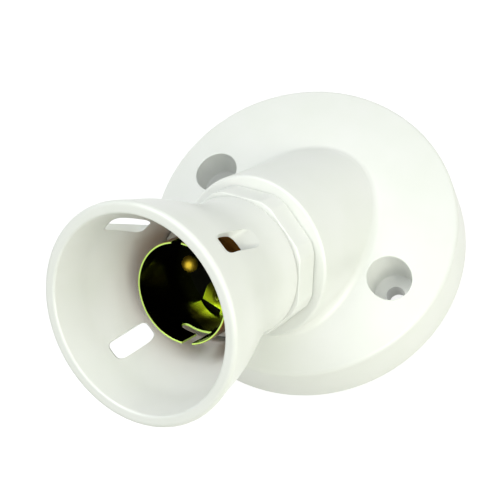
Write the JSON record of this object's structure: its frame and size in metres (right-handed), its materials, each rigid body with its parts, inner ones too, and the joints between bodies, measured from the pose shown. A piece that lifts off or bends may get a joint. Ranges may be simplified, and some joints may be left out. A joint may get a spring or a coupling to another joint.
{
  "type": "angled batten lampholder",
  "caption": "Wall or ceiling lampholder: round screw-down base, short spout leaning at 45 degrees, brass bayonet socket with sprung contacts, shade ring and flared slotted skirt.",
  "frame": {"origin": "centre of the base's back, midway between the two fixing holes, on the mounting surface", "axes": "+Z away from the mounting surface, X through the two fixing holes, the spout leans towards -Y at 45 degrees"},
  "size_m": [0.0734, 0.1005, 0.0753],
  "materials": {
    "white_moulding": "glossy off-white thermoset moulding",
    "black_moulding": "black moulded insulation",
    "brass": "bright pressed and turned brass",
    "spring_steel": "drawn spring wire",
    "plated_steel": "zinc-plated clamp screws"
  },
  "bodies": {
    "holder": {"angled_body": "white_moulding", "bayonet_sleeve": "brass", "contact_insert": "black_moulding", "contact_barrel_live": "brass", "contact_barrel_neutral": "brass", "plunger_spring_live": "spring_steel", "plunger_spring_neutral": "spring_steel", "terminal_screw_live": "plated_steel", "terminal_screw_neutral": "plated_steel", "lug_rivet_lower": "brass", "lug_rivet_upper": "brass", "earth_terminal": "brass", "earth_screw": "plated_steel", "loop_terminal": "brass", "loop_screw_left": "plated_steel", "loop_screw_right": "plated_steel"},
    "live_plunger": {"plunger_live": "brass"},
    "neutral_plunger": {"plunger_neutral": "brass"},
    "ring": {"shade_ring": "white_moulding"},
    "skirt": {"skirt": "white_moulding"}
  },
  "joints": [
    {"name": "live_plunger_slide", "type": "slide", "parent": "holder", "child": "live_plunger", "axis": [0, 0.7071, -0.7071], "range_m": [0, 0.004], "stiffness_N_per_m": 900, "springref_m": -0.004, "deforming": ["plunger_spring_live"]},
    {"name": "neutral_plunger_slide", "type": "slide", "parent": "holder", "child": "neutral_plunger", "axis": [0, 0.7071, -0.7071], "range_m": [0, 0.004], "stiffness_N_per_m": 900, "springref_m": -0.004, "deforming": ["plunger_spring_neutral"]},
    {"name": "ring_turn", "type": "hinge", "parent": "holder", "child": "ring", "pos_m": [0, 0.01155, 0], "axis": [0, -0.7071, 0.7071], "range_deg": [0, 360]},
    {"name": "skirt_turn", "type": "hinge", "parent": "holder", "child": "skirt", "pos_m": [0, 0.01155, 0], "axis": [0, -0.7071, 0.7071], "range_deg": [0, 360]}
  ]
}
